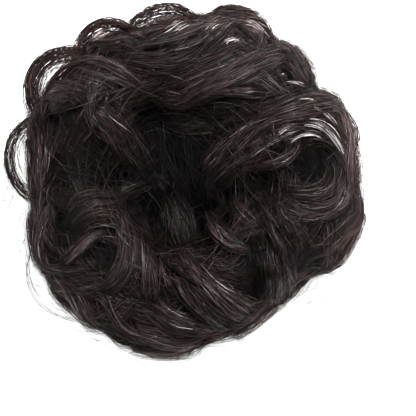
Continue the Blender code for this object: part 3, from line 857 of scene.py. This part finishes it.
def over_grid(grid, sideways, heights):
    """Places over a lock's grid and the way up there, one row for each strand."""
    column = np.clip((sideways - ACROSS[0]) / (ACROSS[1] - ACROSS[0]), 0, len(ACROSS) - 1.001)
    low = column.astype(int)
    part = (column - low)[..., None]
    row = np.arange(len(grid.share))[None, :]
    bed, up = (values[row, low] * (1 - part) + values[row, low + 1] * part for values in (grid.bed, grid.up))
    pressed = heights * (1 - POCKET_PRESS * in_pockets(bed))
    return bed + up * pressed[..., None], up


def lock_height(grid, form, crest):
    """How far a lock stands over the bed. A narrow one is lower, so that it doesn't look like a cord."""
    narrow = min(1, grid.half.max() / (FULL_HALF * REACH))
    swell = form.swell * REACH * tapered(grid.share, 0.8)
    return LOCK_RISE * narrow * crest + LAYER_RISE * form.layer + swell


def in_pockets(places):
    """How far places lie in the pockets between the curls, from 0 to 1: how much the hair there is pressed
    down and painted dark as shade.
    """
    found = np.zeros(places.shape[:-1])
    for pocket in POCKETS:
        away = from_middle(places[..., :2] - in_metres(pocket.middle)) / in_metres(pocket.radius)
        found = np.maximum(found, pocket.depth * np.exp(-(away**4)))
    return found


def painted_shade_factor(places):
    """A factor of painted shade: 1 where places are open to the light, less in the pockets, and less the
    deeper in the hollow.
    """
    sunk = 1 - smooth_step((places[..., 2] / HEIGHT - HOLLOW_LEVEL) / HOLLOW_RISE)
    inner = 1 - smooth_step((from_middle(places) / REACH - HOLLOW_REACH) / HOLLOW_FADE)
    return (1 - HOLLOW_PAINTED_SHADE * sunk * inner) * (1 - in_pockets(places))


def lock_body(grid, form, luck):
    """The body of a lock: one domed strip, with its strands drawn in its finish."""
    share = grid.share[None, :]
    inside = between(share, 0, 1, 0.2)
    sideways = np.linspace(-1, 1, BODY_SIDES - 1)[:, None] + 0 * share
    dome = np.sqrt(1 - sideways**2)
    heights = lock_height(grid, form, BODY_SHARE * dome) * inside - TIP_SINK * (1 - inside * dome)
    places = over_grid(grid, sideways, heights)[0].swapaxes(0, 1)
    middle = over_grid(grid, sideways[:1] * 0, heights[:1] * 0 - TIP_SINK)[0].swapaxes(0, 1)
    rings = np.concatenate([places, middle], axis=1)
    # Painted shade: the body is darker than the strands over it, darker towards its sides and ends, and
    # darker in the pockets and deep in the hollow
    light = ((0.02 + 0.15 * form.tone) * at_least(0.2, dome) * at_least(0.25, inside)).T
    shades = np.concatenate([light, light[:, :1]], axis=1) * painted_shade_factor(rings)
    grain = np.append(sideways[:, 0], 1.15) * grid.half.max() * MILLIMETRES + luck.uniform(0, GRAIN_SPREAD)
    along = np.repeat(share.T * grid.length * MILLIMETRES, BODY_SIDES, axis=1)
    return rings[None], shades[None], np.broadcast_to(grain, shades.shape)[None], along[None]


class Draw:
    """Random columns of one value for each strand, or for each clump and then shared by its members."""

    def __init__(self, luck, count, members=slice(None)):
        self.luck = luck
        self.count = count
        self.members = members

    def column(self, values):
        return values[self.members][:, None]

    def between(self, low, high):
        return self.column(self.luck.uniform(low, high, self.count))

    def about(self, spread):
        return self.column(self.luck.normal(0, 1, self.count)) * spread

    def skewed(self, shape, scale):
        return self.column(self.luck.gamma(shape, scale, self.count))

    def chance(self, share):
        return self.column(self.luck.random(self.count)) < share

    def wave(self, share, turns):
        return np.sin(2 * np.pi * (share * turns + self.between(0, 1)))


def lock_strands(grid, form, luck):
    """The loose strands over a lock's body, in clumps that wave together."""
    share = grid.share[None, :]
    count = max(8, int(form.width * REACH * STRANDS_PER_METRE * form.density))
    clumps = max(4, int(count / CLUMP_SIZE))
    each, by_clump = Draw(luck, count), Draw(luck, clumps, luck.integers(clumps, size=count))
    stray = each.chance(STRAY_SHARE)
    side = by_clump.between(-1.05, 1.05) + each.about(0.09)
    cross = by_clump.about(0.20) + each.about(np.where(stray, 0.8, 0.09))
    swing = 0.09 * by_clump.wave(share, 1.1)
    swing = swing + 0.05 * by_clump.wave(share, 2.1)
    swing = swing + each.about(0.045) * each.wave(share, 1.6)
    sideways = np.clip(side + cross * (share - 0.5) * 2 + swing, -1.35, 1.35)
    dome = np.sqrt(np.clip(1 - np.abs(sideways) ** 2.2, 0.0, 1))
    rise = 0.45 + 0.6 * by_clump.between(0, 1) + each.about(0.08)
    rise = np.where(stray, 1.1 + each.between(0.0, 0.35), rise)
    inside = between(share, each.between(0, 0.2), each.between(0.8, 1), 0.16)
    height = lock_height(grid, form, rise * at_least(0.25, dome))
    places, up = over_grid(grid, sideways, height * inside - TIP_SINK * (1 - inside))
    widths = STRAND_WIDTH * each.between(0.6, 1.35) * np.where(stray, 0.7, 1.0)
    light = 0.05 + 0.38 * form.tone * each.skewed(1.2, 0.8) + by_clump.about(0.10)
    light = light + min(BRIGHTNESS, form.tone) * each.chance(BRIGHT_SHARE)
    light = light * np.where(stray, 0.45, 1.0)
    # Painted shade: strands that lie lower in the lock, nearer its sides or nearer their sunk ends are
    # darker, as are those in the pockets and deep in the hollow
    depth = at_least(0.4, rise) * at_least(0.4, dome) * at_least(0.3, inside)
    return places, up, widths, np.maximum(light, 0.02) * depth * painted_shade_factor(places)


def loop_strands(loop, luck):
    """A thin loop of hair that stands clear of the outline."""
    each = Draw(luck, loop.strands)
    share = np.linspace(0, 1, LOOP_POINTS)[None, :]
    leaves, meets = loop.leaves + each.about(1.4), loop.meets + each.about(1.4)
    reach = loop.reach - np.abs(each.about(loop.width / 2))
    reach = reach + each.about(0.006) * each.wave(share, 1.4)
    bearing = np.radians(leaves + (meets - leaves) * share)
    radius = REACH * (LOOP_ROOT + (reach - LOOP_ROOT) * tapered(share, 0.55))
    height = HEIGHT * (loop.up + each.about(0.03) + 0.05 * np.sin(2 * np.pi * share))
    shades = each.between(0.02, 0.55) ** 1.5
    return round_middle(radius, bearing, height), STRAND_WIDTH * each.between(0.7, 1.7), shades


def edge_hairs(luck):
    """Single hairs that stand off the outline in shallow arcs."""
    share = np.linspace(0, 1, EDGE_POINTS)
    strands = []
    for _ in range(EDGE_HAIRS):
        leaves, span = luck.uniform(0, 360), luck.uniform(8, 38) * luck.choice((-1, 1))
        out = min(luck.uniform(0.95, 1.02) + 0.015 * luck.exponential(), 1.07)
        radius = REACH * (EDGE_ROOT + (out - EDGE_ROOT) * tapered(share, 0.7))
        height = HEIGHT * (luck.uniform(0.1, 0.75) + luck.normal(0, 0.12) * share)
        strands.append(round_middle(radius, np.radians(leaves + span * share), height))
    each = Draw(luck, EDGE_HAIRS)
    shades = each.between(0.1, 0.7)
    return np.array(strands), STRAND_WIDTH * each.between(0.7, 1.1), shades


def strips_in(bundles):
    """The rings of every body and strand made so far."""
    return [rings for bundle in bundles.values() for kind in bundle.values() for rings, _, _, _ in kind]


def top_of_hair(bundles):
    """The height of the highest hair over each cell of a square grid, from the rolls' middle up."""
    heights = np.full((TOP_CELLS, TOP_CELLS), HEIGHT * ROLL_LEVEL)
    for rings in strips_in(bundles):
        np.maximum.at(heights, top_cells(rings), rings[..., 2])
    return heights


def top_cells(places):
    """The cells of the grid of heights that places lie over."""
    cells = ((places[..., :2] / REACH / TOP_SPAN + 0.5) * TOP_CELLS).astype(int)
    cells = np.clip(cells, 0, TOP_CELLS - 1)
    return cells[..., 0], cells[..., 1]


def on_top(heights, plan):
    """The places on top of the hair that are seen at points of the picture, one row for each strand."""
    aims = np.concatenate([plan, np.full((*plan.shape[:2], 1), VIEW_LEVEL)], axis=2)
    viewpoint = np.array(VIEWPOINT)
    places = aims
    for _ in range(3):
        nearer = (viewpoint[2] - heights[top_cells(places)]) / VIEW_DISTANCE
        places = viewpoint + (aims - viewpoint) * nearer[..., None]
    return relaxed(places.swapaxes(0, 1), 6).swapaxes(0, 1)


def glint_strands(heights, glint, luck):
    """A thin lock of shiny hair on top of all the others, its brighter strands painted silver as highlights,
    with the ends of its strands among them.
    """
    each = Draw(luck, glint.strands)
    plan = spline(in_metres(glint.way), GLINT_POINTS)
    share = np.linspace(0, 1, len(plan))[None, :]
    ahead = np.gradient(plan, axis=0)
    beside = np.stack([-ahead[:, 1], ahead[:, 0]], axis=1) / np.linalg.norm(ahead, axis=1)[:, None]
    offset = each.about(0.5) + 0.25 * each.wave(share, 1.3)
    offset = offset * glint.width * REACH / 2 * at_least(0.45, tapered(share))
    places = on_top(heights, plan + beside * offset[..., None])
    inside = between(share, each.between(0, 0.4), each.between(0.6, 1), 0.2)
    places[..., 2] += GLINT_RISE * inside - END_SINK * (1 - inside)
    shades = glint.tone * each.skewed(1.6, 0.6) * inside
    return places, UP, STRAND_WIDTH * each.between(0.7, 1.4), shades


def fine_hairs(heights, luck):
    """Single hairs that lie across the locks in arcs of their own."""
    each = Draw(luck, FINE_HAIRS)
    share = np.linspace(-0.5, 0.5, FINE_POINTS)[None, :]
    bearing, radius = each.between(0, 2 * np.pi), REACH * each.between(0.15, 0.93)
    turn = bearing + (np.pi / 2 + each.about(0.55)) + each.between(-2.6, 2.6) * share
    steps = round_middle(1, turn) * each.between(0.018, 0.060)[..., None] / FINE_POINTS
    plan = round_middle(radius, bearing) + np.cumsum(steps, axis=1) - steps.sum(1)[:, None] / 2
    places = on_top(heights, pulled_in(plan, FINE_INSET))
    places[..., 2] += each.between(-0.0010, 0.0004) - END_SINK * (1 - tapered(share + 0.5, 0.3))
    # Painted shade: fine hairs are darker in the pockets and deep in the hollow
    shades = each.between(0.05, 0.42) * painted_shade_factor(places)
    return places, UP, STRAND_WIDTH * each.between(0.6, 1.0), shades


def strand_frame(places, up):
    """The directions beside and out from strands that lie on something with its outside towards up."""
    along = np.gradient(places, axis=1)
    along /= np.linalg.norm(along, axis=2)[..., None] + TINY
    side = np.cross(along, up)
    side /= np.linalg.norm(side, axis=2)[..., None] + TINY
    return side, np.cross(side, along)


def strand_radius(places, widths):
    thin = at_least(0.35, tapered(np.linspace(0, 1, places.shape[1]), 0.35))
    return (widths / 2 * thin)[..., None]


def strand_marks(places, shades, sides, luck):
    """A shade, a grain and a length for every corner of strands, darker where they kink."""
    turns = np.pad(bends(places), ((0, 0), (1, 1)))
    shades = shades * np.clip(1.6 - turns / KINK_TURN, 0.2, 1)
    shades = np.repeat(shades[..., None], sides, axis=2)
    grain = np.broadcast_to(luck.uniform(0, GRAIN_SPREAD, len(places))[:, None, None], shades.shape)
    gone = np.cumsum(np.linalg.norm(np.diff(places, axis=1, prepend=places[:, :1]), axis=2), axis=1)
    return shades, grain, np.repeat(gone[..., None] * MILLIMETRES, sides, axis=2)


def tubes(places, widths, shades, luck):
    """Free strands as closed three-sided tubes, thin at their ends."""
    side, rise = strand_frame(places, places - UP * HEIGHT * ROLL_LEVEL)
    radius = strand_radius(places, widths)
    turns = 2 * np.pi * np.arange(3) / 3 + np.pi / 2
    rings = np.stack([places + (side * np.cos(t) + rise * np.sin(t)) * radius for t in turns], axis=2)
    return rings, *strand_marks(places, shades, 3, luck)


def ribbons(places, up, widths, shades, luck):
    """Strands that lie on a lock, as narrow ribbons each turned its own way."""
    side, rise = strand_frame(places, up)
    roll = luck.normal(0, 0.5, len(places))[:, None, None]
    flat = (side * np.cos(roll) + rise * np.sin(roll)) * strand_radius(places, widths)
    return np.stack([places - flat, places + flat], axis=2), *strand_marks(places, shades, 2, luck)


def ring_mesh(name, bundles):
    """Bodies, tubes and open ribbons in one mesh, each with its own cell of the baking map."""
    parts = {"vertices": [], "quads": [], "quad_uv": [], "fans": [], "fan_uv": []}
    values = {"shade": [], "edge": [], "grain": [], "along": []}
    start = 0
    for (low_v, high_v), bundle in bundles:
        total = sum(len(rings) for rings, _, _, _ in bundle)
        columns = max(1, round(math.sqrt(total * CELL_SLIMNESS * (high_v - low_v))))
        tall = (high_v - low_v) / math.ceil(total / columns)
        cell = 0
        for rings, shades, grain, along in bundle:
            count, points, sides, _ = rings.shape
            spans = 1 if sides == 2 else sides
            index = start + np.arange(count * points * sides).reshape(count, points, sides)
            cells = cell + np.arange(count)[:, None]
            u = (cells % columns + MARGIN_U + (1 - 2 * MARGIN_U) * np.arange(spans + 1) / spans) / columns
            along_cell = MARGIN_V + (1 - 2 * MARGIN_V) * np.linspace(0, 1, points)
            v = low_v + (cells // columns + along_cell) * tall
            add_sides(parts, index, spans, u, v)
            if sides > 2:
                add_ends(parts, index, u, v, CAP_V * tall)
            rings = rings.copy()
            rings[..., 2] = np.maximum(rings[..., 2], TABLE_CLEARANCE + CORNER_STEP * (np.arange(sides) % 3))
            past = from_middle(rings) / REACH - outline_reach(rings)
            parts["vertices"].append(rings.reshape(-1, 3))
            values["shade"].append(shades.ravel())
            # How near the outline each corner lies, for the hair there that is painted browner as backlight
            values["edge"].append(np.clip(past / BACKLIT_EDGE_WIDTH + 1, 0, 1).ravel())
            values["grain"].append(grain.ravel())
            values["along"].append(along.ravel())
            start += count * points * sides
            cell += count
    return fill_mesh(name, parts, values)


def add_sides(parts, index, spans, u, v):
    """The four-sided faces along strips, and their corners on the baking map."""
    here, after = index[:, :-1, :], index[:, 1:, :]
    corners = [here, np.roll(here, -1, axis=2), np.roll(after, -1, axis=2), after]
    parts["quads"].append(np.stack(corners, axis=-1)[:, :, :spans].reshape(-1, 4))
    corner_u = np.stack([u[:, :-1], u[:, 1:], u[:, 1:], u[:, :-1]], axis=-1)[:, None, :, :]
    corner_v = np.stack([v[:, :-1], v[:, :-1], v[:, 1:], v[:, 1:]], axis=-1)[:, :, None, :]
    pairs = np.stack(np.broadcast_arrays(corner_u, corner_v), axis=-1)
    parts["quad_uv"].append(pairs.reshape(-1, 2))


def add_ends(parts, index, u, v, cap):
    """The triangles that close both ends of bodies and tubes, and their corners on the baking map."""
    for ring, edge_v, rise in ((index[:, 0, ::-1], v[:, :1], -cap), (index[:, -1, :], v[:, -1:], cap)):
        for k in range(1, index.shape[2] - 1):
            parts["fans"].append(ring[:, [0, k, k + 1]])
            pairs = np.stack([u[:, [0, k, k + 1]], edge_v + rise * np.array((0.0, 1.0, 1.0))], axis=-1)
            parts["fan_uv"].append(pairs.reshape(-1, 2))


def fill_mesh(name, parts, values):
    vertices = np.vstack(parts["vertices"]).astype(np.float32)
    quads, fans = np.vstack(parts["quads"]), np.vstack(parts["fans"])
    data = bpy.data.meshes.new(name)
    data.vertices.add(len(vertices))
    data.vertices.foreach_set("co", vertices.ravel())
    corners = np.concatenate([quads.ravel(), fans.ravel()]).astype(np.int32)
    data.loops.add(len(corners))
    data.loops.foreach_set("vertex_index", corners)
    sizes = np.concatenate([np.full(len(quads), 4), np.full(len(fans), 3)])
    starts = np.concatenate([[0], np.cumsum(sizes)[:-1]])
    data.polygons.add(len(sizes))
    data.polygons.foreach_set("loop_start", starts.astype(np.int32))
    data.update(calc_edges=True)
    places = data.uv_layers.new(name="OFBake")
    uv = np.vstack([*parts["quad_uv"], *parts["fan_uv"]]).astype(np.float32)
    places.data.foreach_set("uv", uv.ravel())
    for label, found in values.items():
        add_attribute(data, label, np.concatenate(found))
    data.shade_smooth()
    return data


def add_attribute(data, label, values):
    attribute = data.attributes.new(label, "FLOAT", "POINT")
    attribute.data.foreach_set("value", values.astype(np.float32).ravel())


def lay_lock(surface, bundle, way, form, luck, lean=0.0):
    """Add one lock to a bundle: its body and its strands."""
    grid = lock_grid(surface, way, form.width, lean)
    bundle["bodies"].append(lock_body(grid, form, luck))
    bundle["strands"].append(ribbons(*lock_strands(grid, form, luck), luck))


def lay_rows(surface, bundles, rows, make_way, uneven, luck):
    """Locks in rows round the ring, each in the curl that is nearest to its middle."""
    curls = {node: sum(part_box(node), Vector()) for node in CURL_NODES}
    for row in rows:
        form = Form(row.width, row.layer, row.tone, row.density)
        for k in range(row.count):
            way = make_way(surface, row, 360 * (k + luck.uniform(-uneven, uneven)) / row.count, luck)
            lay_lock(surface, bundles[nearest_curl(curls, way[len(way) // 2])], way, form, luck)


def nearest_curl(curls, place):
    """The curl whose middle is at the bearing nearest to that of a place."""
    bearing = math.atan2(place[1], place[0])
    turns = {node: math.atan2(middle.y, middle.x) - bearing for node, middle in curls.items()}
    return min(turns, key=lambda node: abs(math.remainder(turns[node], 2 * math.pi)))


def make_strands(surface, material):
    """Every curl's locks, one piece for each curl, and one for the middle."""
    luck = np.random.default_rng(SEED)
    bundles = {node: {"bodies": [], "strands": []} for node in HAIR_NODES}
    for node, *locks in TOP_LOCKS:
        for width, layer, tone, *way in locks:
            form = Form(width, layer, tone)
            lay_lock(surface, bundles[node], top_way(surface, way), form, luck, TOP_LEAN)
    lay_rows(surface, bundles, SIDE_ROWS, side_way, 0.2, luck)
    lay_rows(surface, bundles, UNDER_ROWS, under_way, 0.3, luck)
    for rim in RIMS:
        for up in RIM_LEVELS:
            form = Form(RIM_WIDTH, 0.2, luck.uniform(0.5, 1.15), 0.50, rim.swell)
            lay_lock(surface, bundles[rim.curl], rim_way(surface, rim, up), form, luck)
    fit_outline(bundles)
    for loop in LOOPS:
        bundles[loop.curl]["strands"].append(tubes(*loop_strands(loop, luck), luck))
    heights = top_of_hair(bundles)
    for glint in GLINTS:
        bundles[glint.curl]["strands"].append(ribbons(*glint_strands(heights, glint, luck), luck))
    bundles["crown_locks"]["strands"].append(ribbons(*fine_hairs(heights, luck), luck))
    bundles["crown_locks"]["strands"].append(tubes(*edge_hairs(luck), luck))
    for node, bundle in bundles.items():
        data = ring_mesh(node + "_hair", [((0, 0.35), bundle["bodies"]), ((0.35, 1), bundle["strands"])])
        new_piece(node + "_hair", data, material, (node,))


def fit_outline(bundles):
    """Move the outer hair in or out, bearing by bearing, so that it reaches as far as OUTLINE."""
    found = [[] for _ in OUTLINE]
    for rings in strips_in(bundles):
        flat = from_middle(rings)
        slots = np.round(outline_steps(rings)).astype(int) % len(OUTLINE)
        for slot, part in enumerate(found):
            part.append(flat[(slots == slot) & (flat > REACH * RIM_FROM)])
    reach = np.array([np.percentile(np.concatenate(part), REACH_PERCENTILE) for part in found])
    factor = np.array(OUTLINE) / 100 * REACH / reach
    for rings in strips_in(bundles):
        share = smooth_step((from_middle(rings) / REACH - 0.45) / 0.5)
        rings[..., :2] *= (1 + (read_round(factor, rings) - 1) * share)[..., None]


def make_elastic(material):
    """The ring: rounded in section, with the fine ribs of the thread wound round it."""
    around, section, ribs, slant, roundness, rib_depth = 540, 14, 135, 3, 0.45, 0.06
    half_width, half_height = RING_WIDTH / 2, (RING_HIGH.z - RING_LOW.z) / 2
    turn = np.linspace(0, 2 * np.pi, around, endpoint=False)[:, None]
    slice_turn = np.linspace(0, 2 * np.pi, section, endpoint=False)[None, :]
    rib = 0.5 + 0.5 * np.cos(ribs * turn + slant * slice_turn)
    sides = np.cos(slice_turn), np.sin(slice_turn)
    out, up = (np.sign(side) * np.abs(side) ** roundness for side in sides)
    shrink = 1 - rib_depth * (1 - rib)
    radius = RING_OUTER - half_width + half_width * out * shrink
    height = half_height * (1 + up * shrink)
    centre = np.array((RING_CENTRE.x, RING_CENTRE.y, RING_LOW.z))
    places = (round_middle(radius, turn, height) + centre).reshape(-1, 3)
    index = np.arange(around * section).reshape(around, section)
    after = np.roll(index, -1, axis=0)
    faces = np.stack([index, after, np.roll(after, -1, axis=1), np.roll(index, -1, axis=1)], axis=-1)
    data = bpy.data.meshes.new("elastic_ring")
    data.from_pydata(places.tolist(), [], faces.reshape(-1, 4).tolist())
    add_attribute(data, "rib", rib)
    data.shade_smooth()
    new_piece("elastic_ring", data, material, ("elastic_band",))


def make_stage():
    """A white table, lit softly from above."""
    shader_inputs = {
        "Base Color": TABLE_WHITE,
        "Roughness": 0.6,
        "Emission Color": WHITE,
        "Emission Strength": 0.95,
    }
    data = bpy.data.meshes.new("table")
    far = REACH * 40
    data.from_pydata([(-far, -far, 0), (far, -far, 0), (far, far, 0), (-far, far, 0)], [], [(0, 1, 2, 3)])
    table = bpy.data.objects.new("table", data)
    bpy.context.scene.collection.objects.link(table)
    table.data.materials.append(Finish("white_table").surface(shader_inputs))
    world = bpy.data.worlds.new("studio")
    bpy.context.scene.world = world
    world.use_nodes = True
    background = world.node_tree.nodes["Background"]
    background.inputs["Color"].default_value = WHITE
    background.inputs["Strength"].default_value = 0.12
    add_light("softbox", place=(0.28, 0.40, 0.95), size=0.50, power=31.0)
    add_light("fill", place=(-0.6, -0.2, 0.7), size=0.6, power=3.0)
    bpy.context.scene.view_settings.view_transform = "Standard"


def add_light(name, place, size, power):
    light = bpy.data.lights.new(name, "AREA")
    light.shape = "DISK"
    light.size = size
    light.energy = power
    obj = bpy.data.objects.new(name, light)
    obj.location = place
    obj.rotation_euler = (-Vector(place)).to_track_quat("-Z", "Y").to_euler()
    bpy.context.scene.collection.objects.link(obj)


def make_camera():
    """Straight above, with the hair where it is in the picture."""
    camera = bpy.data.cameras.new("camera")
    camera.sensor_width = SENSOR
    camera.lens = SENSOR * VIEW_DISTANCE / (PICTURE_SIZE * PIXEL)
    obj = bpy.data.objects.new("camera", camera)
    obj.location = VIEWPOINT
    bpy.context.scene.collection.objects.link(obj)
    bpy.context.scene.camera = obj


def main():
    make_camera()
    make_stage()
    surface = make_bed(bed_finish())
    make_strands(surface, hair_finish())
    make_elastic(elastic_finish())


main()
